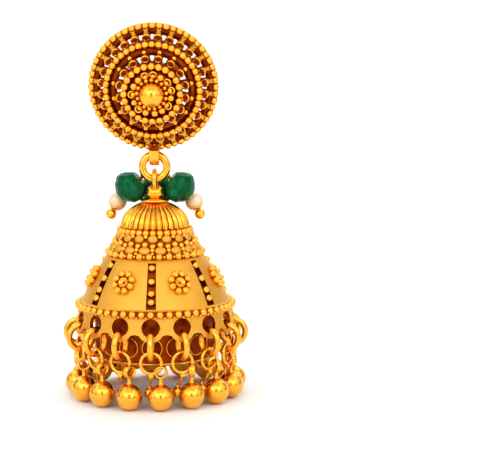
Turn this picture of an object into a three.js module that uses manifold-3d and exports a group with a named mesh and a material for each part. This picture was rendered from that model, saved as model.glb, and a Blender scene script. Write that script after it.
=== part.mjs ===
// Jhumka earring: a domed openwork stud, a jump ring, a hollow bell and its fringe of balls.
// Millimetres, +Z up, the front faces -Y. The origin is the middle of the stud's back plane,
// where the ear post starts. Azimuths run from the front (-Y) towards +X.
import * as THREE from 'three';
import { mergeVertices } from 'three/addons/utils/BufferGeometryUtils.js';
import Module from 'manifold-3d';

const wasm = await Module();
wasm.setup();

// Stud: concentric tiers that step forward, joined by short spokes
const studTiltDegrees = 12;
const studRadius = 10.15;
const rimWidth = 1.15;
const rimThickness = 1.15;
const tierWallWidth = 1.15;
const middleTierRadius = 7.15;
const middleTierBack = 0.5;
const middleTierFront = 3.6;
const upperTierRadius = 4.25;
const upperTierBack = 2.3;
const upperTierFront = 5.8;
const innerTierRadius = 2.85;
const innerTierWidth = 0.8;
const innerTierFront = 6.1;
const crownBack = 4.5;
const centreBeadRadius = 1.85;
const outerSpokeCount = 28;
const middleSpokeCount = 16;
const innerSpokeCount = 8;
const spokeWidth = 0.85;
const spokeThickness = 0.8;
const bridgeBarWidth = 1.2;
const bridgeRecess = 0.2;
const bridgeThickness = 0.5;
const postPadRadius = 1.6;
const bridgeBarCount = 4;
const solderShare = 0.5;
const spokeBiteShare = 0.3;
const tierChamferShare = 0.6;
const tipShare = 0.6;

// Rim section: places as shares of the rim's width and thickness
const rimSection = { footInset: 0.15, edgeHeight: 0.5, crownInset: 0.5, innerHeight: 0.7 };

// Heights of the facet rows on the round beads, in degrees above the bead's middle
const centreBeadRows = [20, 50, 75, 90];
const finialBallRows = [-50, -20, 5, 30, 60, 90];

// Ear post, square to the stud's back
const postRadius = 0.45;
const postLength = 10.5;

// Bail under the stud and the jump ring that hangs in it
const bailWidth = 1.5;
const bailThickness = 0.85;
const ringWireRadius = 0.6;
const ringRadius = 1.9;
const bailClearance = 0.22;
const bailDrop = 0.4;
const bailRootDepth = 0.7;
const bailRecess = 0.1;

// Bell finial: a wire loop on a flattened ball and flange, with a pin down into the cap
const loopWireRadius = 0.4;
const loopClearance = 0.25;
const loopRearRoom = 0.55;
const finialBallRadius = 1.5;
const finialBallHalfHeight = 1.15;
const finialNeck = 0.89;
const finialPinRadius = 0.6;
const finialPinLength = 1.2;
const flangeRadius = 2.1;
const flangeThickness = 0.45;
const ballSink = 0.2;

// Course of the bell's loop, front first: places back and up as shares of its reach and rise
const loopSection = {
  rootSpread: 0.8, rootRise: 0.35, lowShare: 0.75, shoulder: 0.6, shoulderRise: 0.8,
  crownShift: 0.4, rearShoulder: 0.72, rearRise: 0.75, rearFoot: 0.7,
};

// Ribbed cap
const capRadius = 5.4;
const capHeight = 3.8;
const capRoundness = 2.4;
const capWall = 0.65;
const ribCount = 30;
const ribDepth = 0.24;
const seatClearance = 0.1;
const spigotClearance = 0.4;
const flangeCoverShare = 0.95;
const domeShares = { outer: [0, 0.45, 0.8, 1], inner: [0.8, 0] };

// Bell body: radii of the bead ridges and the skirt, and the heights between them
const spigotHeight = 0.7;
const firstRidgeRadius = 5.97;
const firstRidgeDrop = 0.4;
const secondRidgeRadius = 6.75;
const secondRidgeDrop = 1.85;
const thirdRidgeRadius = 7.87;
const thirdRidgeDrop = 1.55;
const ridgeProud = 0.4;
const skirtNeck = 0.75;
const skirtHeight = 6.75;
const skirtTopRadius = 7.75;
const skirtFootRadius = 11.5;
const skirtBulge = 0.22;
const rimRidgeRadius = 12.68;
const rimRidgeDrop = 0.65;
const rimRidgeHeight = 1.0;
const collarDrop = 3.6;
const collarTopRadius = 12.05;
const collarFootRadius = 12.75;
const bodyWall = 0.8;
const ridgeBackShare = 1.8;
const rimRidgeChamfer = 0.35;
const collarStep = 0.05;
const skirtShares = [0, 0.5, 1];

// Skirt slots and rosettes
const panelCount = 7;
const slotWidth = 1.25;
const slotTopMargin = 1.1;
const slotFootMargin = 0.55;
const rosetteRadius = 1.9;
const rosetteProud = 0.55;
const rosetteShare = 0.45;
const rosetteCrownShare = 0.82;

// Inner collar: a plain band inside the fringe, hung from a ledge under the rim
const innerCollarClearance = 0.375;
const innerCollarWall = 0.6;
const innerCollarHeight = 8.4;
const innerCollarDrop = 0.45;
const innerLedgeThickness = 0.6;

// Fringe: one chain in each hole of the collar
const chainCount = 16;
const collarHoleRadius = 1.45;
const collarLobeRadius = 2.15;
const lobeNotchTop = 1.0;
const lobeNotchBelow = 0.5;
const lobeNotchDegrees = { foot: 78, side: 45 };
const linkPlaneShare = 0.625;
const linkWireRadius = 0.475;
const linkRadius = 1.9;
const linkClearance = 0.13;
const lowerLinkWireRadius = 0.275;
const lowerLinkRadius = 1.575;
const stemRadius = 0.25;
const stemLength = 2.35;
const stemSeatDegrees = 68;
const ballRadius = 2.0;

// Bead drops behind and beside the finial
const greenBeadRadius = 2.55;
const greenBeadHalfThickness = 1.95;
const greenBeadTableRadius = 1.25;
const greenBeadSides = 10;
const pearlRadius = 1.42;
const endBallRadius = 0.83;
const pinWireRadius = 0.2;
const pinEyeWireRadius = 0.14;
const pinEyeClearance = 0.2;
const pinEyePitch = 0.4;
const boreClearance = 0.12;
const beadClearance = 0.08;
const pinSteps = 8;
const girdleShare = 0.2;

// Depth of the bell's cutters, and how far inside the wall's outer face they start, in wall thicknesses
const cutterReach = { depth: 4, collarStart: 2.2, slotStart: 2.5 };

// Facets round each shape and along its wires
const facets = {
  bailCurve: 6, postPad: 12, post: 8, ringWire: 6, ring: 14, loopWire: 6, loopSteps: 14, finial: 14,
  hole: 10, boss: 8, innerCollar: 24, eyeWire: 5, eye: 10, pin: 5, endBall: 10, endBallRows: 5, bore: 6,
  pearl: 10, pearlRows: 6, linkWire: 5, link: 10, stem: 5, ball: 10, ballRows: 5,
};

// Course of each drop from the middle of the bell's loop: places of its cap ball and green bead,
// then the ways on to the pearl and to the end ball
const dropRoutes = [
  { name: 'left', eyeStep: 1, side: -1, cap: [1.95, 1.5, 0.34], green: [3.9, 0.9, -1.36],
    pearlWay: [2, 1.55, -2.3], endWay: [0.95, -1.05, -1.84] },
  { name: 'right', eyeStep: 0, side: 1, cap: [1.95, 1.5, 0.34], green: [3.9, 0.9, -1.36],
    pearlWay: [2, 1.55, -2.3], endWay: [0.95, -1.05, -1.84] },
  { name: 'rear', eyeStep: -1, side: 1, cap: [0, 3.1, -0.12], green: [0, 4.8, -1.92],
    pearlWay: [0, 2.35, -2.48], endWay: [0, 1.15, -1.99] },
];

const radians = THREE.MathUtils.degToRad;
const gold = { color: 0xe9a93a, metalness: 1, roughness: 0.28 };
const satinGold = { color: 0xf2bd5a, metalness: 1, roughness: 0.5 };
const green = { color: 0x0a6437, metalness: 0, roughness: 0.15 };
const pearl = { color: 0xf3e9dc, metalness: 0, roughness: 0.3 };

const earring = new THREE.Group();

// Turn a closed three.js geometry into a solid, with its faces pointing out
function solid(geometry) {
  const bare = geometry.clone();
  bare.deleteAttribute('normal');
  bare.deleteAttribute('uv');
  const merged = mergeVertices(bare, 1e-5);
  const places = merged.attributes.position.array;
  const corners = merged.index.array;
  const faces = [];
  let volume = 0;
  const point = (i) => new THREE.Vector3(places[3 * i], places[3 * i + 1], places[3 * i + 2]);
  for (let i = 0; i < corners.length; i += 3) {
    const [a, b, c] = [corners[i], corners[i + 1], corners[i + 2]];
    if (a === b || b === c || c === a) continue;
    faces.push([a, b, c]);
    volume += point(a).dot(point(b).cross(point(c)));
  }
  const outward = volume > 0 ? faces : faces.map(([a, b, c]) => [a, c, b]);
  return new wasm.Manifold(new wasm.Mesh({
    numProp: 3,
    vertProperties: new Float32Array(places),
    triVerts: new Uint32Array(outward.flat()),
  }));
}

function join(parts) {
  return parts.reduce((whole, part) => whole.add(part));
}

function cut(whole, parts) {
  return parts.reduce((rest, part) => rest.subtract(part), whole);
}

// Add one named solid to a group as a mesh
function place(group, name, body, finish) {
  const mesh = body.getMesh();
  const geometry = new THREE.BufferGeometry();
  geometry.setAttribute('position', new THREE.BufferAttribute(new Float32Array(mesh.vertProperties), 3));
  geometry.setIndex(new THREE.BufferAttribute(new Uint32Array(mesh.triVerts), 1));
  geometry.computeVertexNormals();
  const node = new THREE.Mesh(geometry, new THREE.MeshStandardMaterial(finish));
  node.name = name;
  group.add(node);
}

// Turn a profile of [radius, height] points round the Z axis
function turned(profile, sides) {
  const points = profile.map(([radius, height]) => new THREE.Vector2(radius, height));
  return new THREE.LatheGeometry(points, sides).rotateX(Math.PI / 2);
}

function closedProfile(points) {
  return [...points, points[0]];
}

// A round wire along a curve, with flat ends
function wire(curve, radius, steps, sides) {
  const corners = Array.from({ length: sides }, (_, i) => {
    const angle = (i * 2 * Math.PI) / sides;
    return new THREE.Vector2(radius * Math.cos(angle), radius * Math.sin(angle));
  });
  const options = { steps, bevelEnabled: false, extrudePath: curve };
  return new THREE.ExtrudeGeometry(new THREE.Shape(corners), options);
}

function ball(radius, centre, sides, rows) {
  return new THREE.SphereGeometry(radius, sides, rows).rotateX(Math.PI / 2).translate(...centre);
}

function box(size, centre) {
  return new THREE.BoxGeometry(...size).translate(...centre);
}

// Copies of a geometry modelled at the front, turned evenly round the Z axis
function ringOf(count, firstTurn, makeGeometry) {
  const step = (2 * Math.PI) / count;
  return Array.from({ length: count }, (_, i) => solid(makeGeometry().rotateZ((i + firstTurn) * step)));
}

// Stud, modelled with its axis on +Z (forward) and its top on +Y, then tipped into place
const studTurn = Math.PI / 2 + radians(studTiltDegrees);
const bailHoleRadius = ringWireRadius + bailClearance;
const bailRadius = bailHoleRadius + bailThickness;
const bailCentre = new THREE.Vector3(0, -(studRadius + bailDrop), bailRadius + bailRecess);
const hangPoint = bailCentre.clone().applyAxisAngle(new THREE.Vector3(1, 0, 0), studTurn);

function tierWall(radius, width, back, front, sides) {
  const half = width / 2;
  const shoulder = front - half * tierChamferShare;
  return turned(closedProfile([
    [radius - half, back], [radius + half, back], [radius + half, shoulder],
    [radius, front], [radius - half, shoulder],
  ]), sides);
}

function spokes(count, firstTurn, innerRadius, outerRadius, back, width, thickness) {
  const length = outerRadius - innerRadius;
  const centre = [0, -(innerRadius + outerRadius) / 2, back + thickness / 2];
  return ringOf(count, firstTurn, () => box([width, length, thickness], centre));
}

function studRim() {
  const inner = studRadius - rimWidth;
  return turned(closedProfile([
    [inner, 0], [studRadius - rimWidth * rimSection.footInset, 0],
    [studRadius, rimThickness * rimSection.edgeHeight],
    [studRadius - rimWidth * rimSection.crownInset, rimThickness],
    [inner, rimThickness * rimSection.innerHeight],
  ]), outerSpokeCount);
}

// The innermost tier and the centre bead that stands in it
function studCrown() {
  const outer = innerTierRadius + innerTierWidth / 2;
  const beadPoints = centreBeadRows.map((degrees) => [
    centreBeadRadius * Math.cos(radians(degrees)),
    innerTierFront + centreBeadRadius * Math.sin(radians(degrees)),
  ]);
  beadPoints[beadPoints.length - 1][0] = 0;
  return turned([[0, crownBack], [outer, crownBack], [outer, innerTierFront - innerTierWidth / 2],
    [innerTierRadius, innerTierFront], [centreBeadRadius, innerTierFront - innerTierWidth], ...beadPoints],
  2 * innerSpokeCount);
}

function studBail() {
  const outline = new THREE.Shape();
  const top = -(studRadius - bailRootDepth);
  outline.moveTo(bailCentre.z - bailRadius, top);
  outline.lineTo(bailCentre.z - bailRadius, bailCentre.y);
  outline.absarc(bailCentre.z, bailCentre.y, bailRadius, Math.PI, 2 * Math.PI);
  outline.lineTo(bailCentre.z + bailRadius, top);
  const hole = new THREE.Path();
  hole.absarc(bailCentre.z, bailCentre.y, bailHoleRadius, 0, 2 * Math.PI, true);
  outline.holes.push(hole);
  const strap = { depth: bailWidth, bevelEnabled: false, curveSegments: facets.bailCurve };
  return new THREE.ExtrudeGeometry(outline, strap)
    .translate(0, 0, -bailWidth / 2)
    .rotateY(-Math.PI / 2);
}

function studSolid() {
  const rimInner = studRadius - rimWidth;
  return join([
    solid(studRim()),
    solid(tierWall(middleTierRadius, tierWallWidth, middleTierBack, middleTierFront, outerSpokeCount)),
    solid(tierWall(upperTierRadius, tierWallWidth, upperTierBack, upperTierFront, middleSpokeCount)),
    ...spokes(outerSpokeCount, 0.5, middleTierRadius, rimInner + rimWidth * spokeBiteShare, middleTierBack,
      spokeWidth, spokeThickness),
    ...spokes(middleSpokeCount, 0.5, upperTierRadius, middleTierRadius, upperTierBack,
      spokeWidth, spokeThickness),
    ...spokes(innerSpokeCount, 0.5, innerTierRadius, upperTierRadius, crownBack, spokeWidth, spokeThickness),
    solid(studCrown()),
    solid(turned([[0, bridgeRecess], [postPadRadius, bridgeRecess],
      [postPadRadius, bridgeRecess + bridgeThickness], [0, bridgeRecess + bridgeThickness]], facets.postPad)),
    ...spokes(bridgeBarCount, 0.5, postPadRadius * solderShare, rimInner + rimWidth * solderShare,
      bridgeRecess, bridgeBarWidth, bridgeThickness),
    solid(studBail()),
  ]);
}

const studGroup = new THREE.Group();
studGroup.rotation.x = studTurn;
earring.add(studGroup);
place(studGroup, 'stud', studSolid(), gold);
const postTop = bridgeRecess - seatClearance;
place(studGroup, 'ear_post', solid(turned([[0, -postLength], [postRadius * tipShare, -postLength],
  [postRadius, postRadius - postLength], [postRadius, postTop], [0, postTop]], facets.post)), gold);

// Everything below hangs from the middle of the bail's hole
const hanging = new THREE.Group();
hanging.position.copy(hangPoint);
earring.add(hanging);

function upright(radius, wireRadius, wireSides, sides) {
  return new THREE.TorusGeometry(radius, wireRadius, wireSides, sides).rotateX(Math.PI / 2);
}

place(hanging, 'jump_ring', solid(upright(ringRadius, ringWireRadius, facets.ringWire, facets.ring)
  .translate(0, 0, -ringRadius)), gold);

// Bell: heights are measured down from the jump ring's lower wire, where the loop is centred
const loopCentreZ = -2 * ringRadius;
const loopRadius = ringWireRadius + loopClearance + loopWireRadius;
const loopRear = loopRadius + loopRearRoom;
const ballCentreZ = loopCentreZ - loopRadius - finialNeck;
const flangeTopZ = ballCentreZ - finialBallHalfHeight + ballSink;
const flangeFootZ = flangeTopZ - flangeThickness;
const domeTopZ = flangeFootZ - seatClearance;
const capFootZ = domeTopZ - capHeight;

function finialSolid() {
  const course = loopSection;
  const rootZ = ballCentreZ + finialBallHalfHeight * course.rootRise;
  const rootY = loopWireRadius * course.rootSpread;
  const lowZ = loopCentreZ - loopRadius * course.lowShare;
  const bend = new THREE.CatmullRomCurve3([
    [-rootY, rootZ], [-loopRadius * course.lowShare, lowZ], [-loopRadius, loopCentreZ],
    [-loopRadius * course.shoulder, loopCentreZ + loopRadius * course.shoulderRise],
    [loopRearRoom * course.crownShift, loopCentreZ + loopRadius],
    [loopRear * course.rearShoulder, loopCentreZ + loopRadius * course.rearRise],
    [loopRear, loopCentreZ], [loopRear * course.rearFoot, lowZ], [rootY, rootZ],
  ].map(([y, z]) => new THREE.Vector3(0, y, z)));
  const ballPoints = finialBallRows.map((degrees) => [
    finialBallRadius * Math.cos(radians(degrees)),
    ballCentreZ + finialBallHalfHeight * Math.sin(radians(degrees)),
  ]);
  ballPoints[ballPoints.length - 1][0] = 0;
  const pinFoot = flangeFootZ - finialPinLength;
  const stem = turned([[0, pinFoot], [finialPinRadius, pinFoot], [finialPinRadius, flangeFootZ],
    [flangeRadius, flangeFootZ], [flangeRadius, flangeTopZ], ...ballPoints], facets.finial);
  return solid(wire(bend, loopWireRadius, facets.loopSteps, facets.loopWire)).add(solid(stem));
}

// Outer radius of the dome, from its foot (0) to its top (1)
function domeRadius(share) {
  const topShare = (1 - (flangeRadius * flangeCoverShare / capRadius) ** capRoundness) ** (1 / capRoundness);
  return capRadius * (1 - (share * topShare) ** capRoundness) ** (1 / capRoundness);
}

function capSolid() {
  const outer = domeShares.outer.map((share) => [domeRadius(share), capFootZ + share * capHeight]);
  const inner = domeShares.inner.map((share) => [domeRadius(share) - capWall - ribDepth,
    capFootZ + share * (capHeight - capWall)]);
  const hole = finialPinRadius + seatClearance;
  const crownZ = domeTopZ - capWall;
  const dome = turned(closedProfile([...outer, [hole, domeTopZ], [hole, crownZ], ...inner]), 2 * ribCount);
  const places = dome.attributes.position;
  const rows = outer.length + inner.length + 3;
  for (let i = 0; i < places.count; i += 1) {
    const row = i % rows;
    const segment = Math.floor(i / rows);
    const onDome = row < outer.length || row === rows - 1;
    if (!onDome || segment % 2 === 0) continue;
    const radius = Math.hypot(places.getX(i), places.getY(i));
    const shrink = (radius - ribDepth) / radius;
    places.setXYZ(i, places.getX(i) * shrink, places.getY(i) * shrink, places.getZ(i));
  }
  return solid(dome);
}

const firstRidgeZ = capFootZ - seatClearance - firstRidgeDrop;
const secondRidgeZ = firstRidgeZ - secondRidgeDrop;
const thirdRidgeZ = secondRidgeZ - thirdRidgeDrop;
const skirtTopZ = thirdRidgeZ - skirtNeck;
const skirtFootZ = skirtTopZ - skirtHeight;
const rimRidgeZ = skirtFootZ - rimRidgeDrop;
const collarTopZ = rimRidgeZ - rimRidgeHeight / 2;
const collarFootZ = collarTopZ - collarDrop;

// Outer radius of the skirt, from its top (0) to its foot (1)
function skirtRadius(share) {
  const straight = THREE.MathUtils.lerp(skirtTopRadius, skirtFootRadius, share);
  return straight + skirtBulge * Math.sin(Math.PI * share);
}

function skirtZ(share) {
  return THREE.MathUtils.lerp(skirtTopZ, skirtFootZ, share);
}

function bodyProfile() {
  const spigotRadius = capRadius - capWall - ribDepth - spigotClearance;
  const spigotFootZ = firstRidgeZ + firstRidgeDrop;
  const outer = [
    [spigotRadius, spigotFootZ + spigotHeight], [spigotRadius, spigotFootZ],
    [firstRidgeRadius - ridgeProud, spigotFootZ], [firstRidgeRadius, firstRidgeZ],
    [firstRidgeRadius - ridgeProud, firstRidgeZ - ridgeProud],
    [secondRidgeRadius - ridgeProud * ridgeBackShare, secondRidgeZ + ridgeProud],
    [secondRidgeRadius, secondRidgeZ],
    [thirdRidgeRadius - ridgeProud * ridgeBackShare, thirdRidgeZ + ridgeProud],
    [thirdRidgeRadius, thirdRidgeZ],
    ...skirtShares.map((share) => [skirtRadius(share), skirtZ(share)]),
    [rimRidgeRadius - rimRidgeChamfer, rimRidgeZ + rimRidgeHeight / 2], [rimRidgeRadius, rimRidgeZ],
    [rimRidgeRadius - rimRidgeChamfer, rimRidgeZ - rimRidgeHeight / 2],
    [collarTopRadius, collarTopZ - collarStep],
    [collarFootRadius, collarFootZ],
  ];
  const inner = [
    [collarFootRadius - bodyWall, collarFootZ], [skirtRadius(1) - bodyWall, skirtZ(1)],
    [skirtRadius(0) - bodyWall, skirtZ(0)],
    [spigotRadius - bodyWall, spigotFootZ - bodyWall], [spigotRadius - bodyWall, spigotFootZ + spigotHeight],
  ];
  return closedProfile([...outer, ...inner]);
}

const holeZ = collarFootZ + collarLobeRadius;

// A bar through the collar's wall at the front, with its outline given across and up
function collarCutter(points) {
  const outline = new THREE.Shape(points.map(([across, up]) => new THREE.Vector2(across, up)));
  const depth = cutterReach.depth * bodyWall;
  return new THREE.ExtrudeGeometry(outline, { depth, bevelEnabled: false })
    .rotateX(Math.PI / 2)
    .translate(0, -(collarTopRadius - cutterReach.collarStart * bodyWall), 0);
}

function collarHole() {
  const depth = cutterReach.depth * bodyWall;
  const middle = (collarTopRadius + collarFootRadius) / 2 - bodyWall / 2;
  return new THREE.CylinderGeometry(collarHoleRadius, collarHoleRadius, depth, facets.hole)
    .translate(0, -middle, holeZ);
}

function lobeNotch() {
  const halfPitch = (Math.PI * collarFootRadius) / chainCount;
  const lobePoint = (degrees, hand) => [
    hand * (halfPitch - collarLobeRadius * Math.cos(radians(degrees))),
    holeZ - collarLobeRadius * Math.sin(radians(degrees)),
  ];
  const footZ = collarFootZ - lobeNotchBelow;
  const { foot, side } = lobeNotchDegrees;
  const outer = lobePoint(foot, 1)[0];
  return collarCutter([
    [-outer, footZ], [outer, footZ], lobePoint(side, 1), [0, holeZ - lobeNotchTop], lobePoint(side, -1),
  ]);
}

function skirtSlot() {
  const top = skirtZ(0) - slotTopMargin;
  const foot = skirtZ(1) + slotFootMargin;
  const near = skirtTopRadius - cutterReach.slotStart * bodyWall;
  const far = skirtFootRadius + bodyWall;
  return box([slotWidth, far - near, top - foot], [0, -(near + far) / 2, (top + foot) / 2]);
}

// A round boss square to the skirt, under each rosette
function rosetteBoss() {
  const lean = Math.atan2(skirtRadius(1) - skirtRadius(0), skirtZ(0) - skirtZ(1));
  const root = bodyWall * solderShare;
  const depth = rosetteProud + root;
  return new THREE.CylinderGeometry(rosetteRadius * rosetteCrownShare, rosetteRadius, depth, facets.boss)
    .translate(0, depth / 2 - root, 0)
    .rotateX(Math.PI - lean)
    .translate(0, -skirtRadius(rosetteShare), skirtZ(rosetteShare));
}

function bodySolid() {
  const shell = solid(turned(bodyProfile(), 2 * chainCount));
  const cutters = [
    ...ringOf(chainCount, 0, collarHole),
    ...ringOf(chainCount, 0.5, lobeNotch),
    ...ringOf(panelCount, 0, skirtSlot),
  ];
  return join([cut(shell, cutters), ...ringOf(panelCount, 0.5, rosetteBoss)]);
}

// The upper links hang in this plane and the inner collar stays clear of them
const linkPlaneRadius = collarFootRadius - bodyWall * linkPlaneShare;
const innerCollarRadius = linkPlaneRadius - linkRadius - linkWireRadius - innerCollarClearance;

// The ledge stops just short of the flat faces inside the bell's wall
function innerCollarSolid() {
  const topZ = skirtFootZ - innerCollarDrop;
  const ledgeFootZ = topZ - innerLedgeThickness;
  const footZ = topZ - innerCollarHeight;
  const down = innerCollarDrop / (skirtFootZ - collarFootZ);
  const wallRadius = THREE.MathUtils.lerp(skirtRadius(1), collarFootRadius, down) - bodyWall;
  const ledgeRadius = wallRadius * Math.cos(Math.PI / (2 * chainCount)) - seatClearance;
  const bore = innerCollarRadius - innerCollarWall;
  return solid(turned(closedProfile([
    [bore, topZ], [ledgeRadius, topZ], [ledgeRadius, ledgeFootZ], [innerCollarRadius, ledgeFootZ],
    [innerCollarRadius, footZ], [bore, footZ],
  ]), facets.innerCollar));
}

place(hanging, 'bell_finial', finialSolid(), gold);
place(hanging, 'ribbed_cap', capSolid(), gold);
place(hanging, 'bell_body', bodySolid(), satinGold);
place(hanging, 'inner_collar', innerCollarSolid(), gold);

// Bead drops: a pin with an eye round the loop's rear wire, two beads and an end ball
const pinEyeRadius = loopWireRadius + pinEyeClearance + pinEyeWireRadius;

function pinEyeCentre(route) {
  return new THREE.Vector3(0, loopRear, loopCentreZ + route.eyeStep * pinEyePitch);
}

function pinCourse(route, points) {
  const centre = pinEyeCentre(route);
  const outward = points[0].clone().sub(centre).setZ(0).normalize();
  return [centre.addScaledVector(outward, pinEyeRadius), ...points];
}

function dropPin(route, points, course) {
  const eye = new THREE.TorusGeometry(pinEyeRadius, pinEyeWireRadius, facets.eyeWire, facets.eye)
    .translate(...pinEyeCentre(route));
  return join([
    solid(eye),
    solid(wire(course, pinWireRadius, pinSteps, facets.pin)),
    solid(ball(endBallRadius, points[3], facets.endBall, facets.endBallRows)),
  ]);
}

function threaded(bead, curve) {
  return solid(bead).subtract(solid(wire(curve, pinWireRadius + boreClearance, pinSteps, facets.bore)));
}

function greenBead(centre, along) {
  const table = greenBeadTableRadius;
  const outer = greenBeadRadius;
  const half = greenBeadHalfThickness;
  const turn = new THREE.Quaternion().setFromUnitVectors(new THREE.Vector3(0, 0, 1), along);
  return turned([[0, -half], [table, -half], [outer, -half * girdleShare], [outer, half * girdleShare],
    [table, half], [0, half]], greenBeadSides)
    .applyQuaternion(turn)
    .translate(...centre);
}

for (const route of dropRoutes) {
  const vector = ([across, back, up]) => new THREE.Vector3(route.side * across, back, up);
  const loopCentre = new THREE.Vector3(0, 0, loopCentreZ);
  const capPoint = vector(route.cap).add(loopCentre);
  const greenPoint = vector(route.green).add(loopCentre);
  const pearlWay = vector(route.pearlWay).normalize();
  const along = greenPoint.clone().sub(capPoint).normalize().add(pearlWay).normalize();
  const pearlStep = (greenBeadHalfThickness + pearlRadius + beadClearance) / along.dot(pearlWay);
  const pearlPoint = greenPoint.clone().addScaledVector(pearlWay, pearlStep);
  const endPoint = pearlPoint.clone()
    .addScaledVector(vector(route.endWay).normalize(), pearlRadius + endBallRadius + beadClearance);
  const points = [capPoint, greenPoint, pearlPoint, endPoint];
  const bore = new THREE.CatmullRomCurve3(pinCourse(route, points), false, 'centripetal');
  place(hanging, `bead_pin_${route.name}`, dropPin(route, points, bore), gold);
  place(hanging, `green_bead_${route.name}`, threaded(greenBead(greenPoint, along), bore), green);
  const pearlBall = ball(pearlRadius, pearlPoint, facets.pearl, facets.pearlRows);
  place(hanging, `pearl_${route.name}`, threaded(pearlBall, bore), pearl);
}

// Fringe: an upper link through each hole, and a lower link with its eye and ball
const linkTopZ = holeZ - collarHoleRadius + linkClearance + linkWireRadius;
const linkCentreZ = linkTopZ - linkRadius;
const linkFootZ = linkCentreZ - linkRadius;
const lowerLinkCentreZ = linkFootZ + linkWireRadius + linkClearance + lowerLinkWireRadius - lowerLinkRadius;

function upperLink() {
  return upright(linkRadius, linkWireRadius, facets.linkWire, facets.link)
    .rotateZ(Math.PI / 2)
    .translate(0, -linkPlaneRadius, linkCentreZ);
}

// The drop at the front: a short stem leaves the lower link's right side and holds the ball
function fringeDrop() {
  const seat = radians(stemSeatDegrees);
  const across = lowerLinkRadius * Math.sin(seat);
  const seatZ = lowerLinkCentreZ - lowerLinkRadius * Math.cos(seat);
  const ballZ = seatZ - stemLength - ballRadius;
  const lowerLink = upright(lowerLinkRadius, lowerLinkWireRadius, facets.linkWire, facets.link)
    .translate(0, -linkPlaneRadius, lowerLinkCentreZ);
  const stem = turned([[0, ballZ], [stemRadius, ballZ], [stemRadius, seatZ], [0, seatZ]], facets.stem)
    .translate(across, -linkPlaneRadius, 0);
  return [lowerLink, stem,
    ball(ballRadius, [across, -linkPlaneRadius, ballZ], facets.ball, facets.ballRows)];
}

for (let i = 0; i < chainCount; i += 1) {
  const turn = (i * 2 * Math.PI) / chainCount;
  const number = String(i + 1).padStart(2, '0');
  place(hanging, `fringe_link_${number}`, solid(upperLink().rotateZ(turn)), gold);
  const drop = fringeDrop().map((piece) => solid(piece.rotateZ(turn)));
  place(hanging, `fringe_drop_${number}`, join(drop), gold);
}

export default earring;
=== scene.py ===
import math
import random

import bpy
import numpy as np
from mathutils import Matrix


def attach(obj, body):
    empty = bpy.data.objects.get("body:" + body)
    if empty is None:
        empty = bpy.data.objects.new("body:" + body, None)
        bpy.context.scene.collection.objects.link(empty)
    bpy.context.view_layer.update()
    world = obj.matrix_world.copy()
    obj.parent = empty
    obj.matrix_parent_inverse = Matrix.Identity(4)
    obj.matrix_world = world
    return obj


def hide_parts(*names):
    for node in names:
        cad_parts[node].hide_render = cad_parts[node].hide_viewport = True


# Lengths are in millimetres until a piece is made. The front faces -Y, azimuths run from
# the front towards +X, and the stud's own axis is +Z until it is tipped into place.

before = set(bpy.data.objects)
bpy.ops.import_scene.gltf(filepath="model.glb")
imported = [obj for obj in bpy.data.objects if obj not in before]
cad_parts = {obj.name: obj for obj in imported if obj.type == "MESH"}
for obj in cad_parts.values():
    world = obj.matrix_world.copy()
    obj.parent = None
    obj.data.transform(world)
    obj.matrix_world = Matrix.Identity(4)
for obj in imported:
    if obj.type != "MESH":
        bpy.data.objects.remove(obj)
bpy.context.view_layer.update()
draw = random.Random(7)
print("frame loaded")


# Placing

def matrixOf(rows):
    made = np.eye(4)
    made[:3, :3] = rows
    return made


def shift(x, y, z):
    made = np.eye(4)
    made[:3, 3] = (x, y, z)
    return made


def stretch(x, y, z):
    return matrixOf(np.diag((x, y, z)))


def scaled(size):
    return stretch(size, size, size)


def turn(axis, degrees):
    c, s = math.cos(math.radians(degrees)), math.sin(math.radians(degrees))
    rows = {
        "x": [[1, 0, 0], [0, c, -s], [0, s, c]],
        "y": [[c, 0, s], [0, 1, 0], [-s, 0, c]],
        "z": [[c, -s, 0], [s, c, 0], [0, 0, 1]],
    }
    return matrixOf(rows[axis])


def unit(values):
    return np.array(values, float) / np.linalg.norm(values)


def aim(direction, start=(0, 0, 0)):
    # Stands a shape's +Z on a direction, at a point
    w = unit(direction)
    u = unit(np.cross((1, 0, 0) if abs(w[0]) < 0.9 else (0, 1, 0), w))
    made = matrixOf(np.column_stack((u, np.cross(w, u), w)))
    made[:3, 3] = start
    return made


def outward(degrees, radius, height, lean=0):
    # Stands a shape's +Z outwards at an azimuth, leaning up or down, with its +Y up
    return turn("z", degrees) @ shift(0, -radius, height) @ turn("x", 90 - lean)


def azimuths(count, start=0):
    # Even steps round the axis, the first one a share of a step on
    return [(i + start) * 360 / count for i in range(count)]


# Shapes: corners, faces and whether they are shaded smoothly

def ballShape(sides=16, rows=10):
    corners = [(0, 0, -1)]
    for row in range(1, rows):
        angle = math.pi * row / rows - math.pi / 2
        wide, high = math.cos(angle), math.sin(angle)
        for side in range(sides):
            around = 2 * math.pi * side / sides
            corners.append((wide * math.cos(around), wide * math.sin(around), high))
    corners.append((0, 0, 1))
    faces = []
    top = len(corners) - 1
    for side in range(sides):
        after = (side + 1) % sides
        faces.append((0, 1 + after, 1 + side))
        base = 1 + (rows - 2) * sides
        faces.append((base + side, base + after, top))
        for row in range(rows - 2):
            low, high = 1 + row * sides, 1 + (row + 1) * sides
            faces.append((low + side, low + after, high + after, high + side))
    return np.array(corners, float), faces, True


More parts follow.
